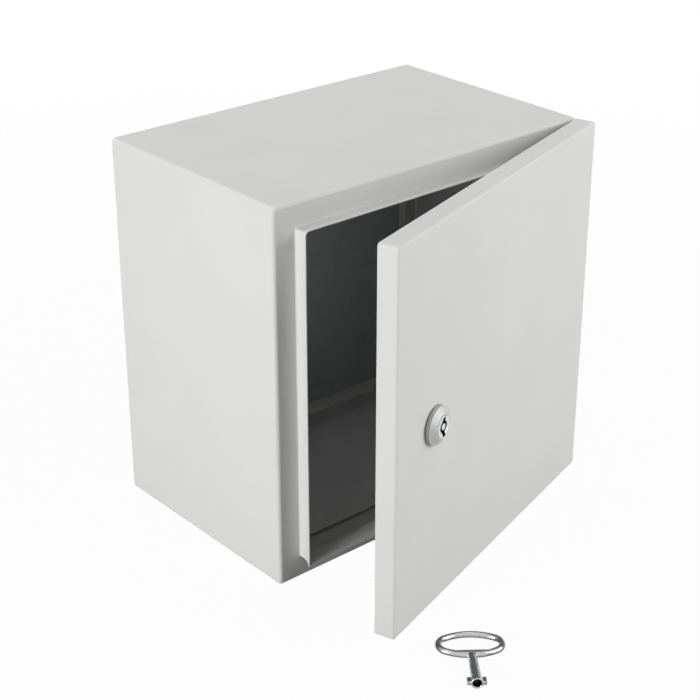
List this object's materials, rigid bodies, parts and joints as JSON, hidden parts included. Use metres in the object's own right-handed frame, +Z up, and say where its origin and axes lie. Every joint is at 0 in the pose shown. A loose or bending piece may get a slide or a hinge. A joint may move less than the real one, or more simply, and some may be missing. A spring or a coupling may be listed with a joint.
{
  "type": "steel wall enclosure",
  "caption": "Folded sheet-steel wall enclosure with a hinged door, foam seal, quarter-turn lock with double-bit key, mounting plate and bolted gland plate.",
  "frame": {"origin": "centre of the four wall holes, on the rear face that meets the wall", "axes": "+X to the right of someone facing the door, +Y into the wall, +Z up"},
  "size_m": [0.303, 0.3792, 0.3],
  "materials": {
    "cabinet_paint": "light grey textured powder coat",
    "door_paint": "light grey textured powder coat",
    "galvanised_steel": "galvanised, fine spangle",
    "zinc_plated_steel": "bright zinc plate",
    "spacer_plastic": "moulded, matt",
    "seal_foam": "closed-cell foam",
    "copper_plated_steel": "copper flash",
    "brass_nut": "turned",
    "lock_casting": "die-cast zinc, satin",
    "chromed_zinc": "chromed die casting"
  },
  "bodies": {
    "cabinet": {"body_shell": "cabinet_paint", "rear_panel": "cabinet_paint", "mounting_plate": "galvanised_steel", "plate_studs": "zinc_plated_steel", "plate_spacers": "spacer_plastic", "plate_washers": "zinc_plated_steel", "plate_nuts": "zinc_plated_steel", "gland_plate": "cabinet_paint", "gland_seal": "seal_foam", "gland_studs": "zinc_plated_steel", "gland_nuts": "zinc_plated_steel", "hinge_brackets": "zinc_plated_steel", "hinge_pins": "zinc_plated_steel", "body_earth_stud": "copper_plated_steel", "body_earth_nut": "brass_nut"},
    "door": {"door_panel": "door_paint", "door_hinge_lugs": "door_paint", "door_seal": "seal_foam", "door_earth_stud": "copper_plated_steel", "door_earth_nut": "brass_nut", "lock_housing": "lock_casting", "lock_gasket": "seal_foam", "lock_nut": "zinc_plated_steel"},
    "lock_core": {"lock_insert": "chromed_zinc", "lock_cam": "zinc_plated_steel", "cam_washer": "zinc_plated_steel", "cam_screw": "zinc_plated_steel"},
    "key": {"key": "chromed_zinc"}
  },
  "joints": [
    {"name": "door_hinge", "type": "hinge", "parent": "cabinet", "child": "door", "pos_m": [0.146, -0.1978, 0], "axis": [0, 0, 1], "range_deg": [-17.5, 92.5]},
    {"name": "lock_turn", "type": "hinge", "parent": "door", "child": "lock_core", "pos_m": [-0.08208, -0.28251, 0], "axis": [-0.3007, 0.9537, 0], "range_deg": [0, 90]},
    {"name": "key_lift", "type": "slide", "parent": "door", "child": "key", "axis": [0, 0, 1], "range_m": [0, 0.05]}
  ]
}
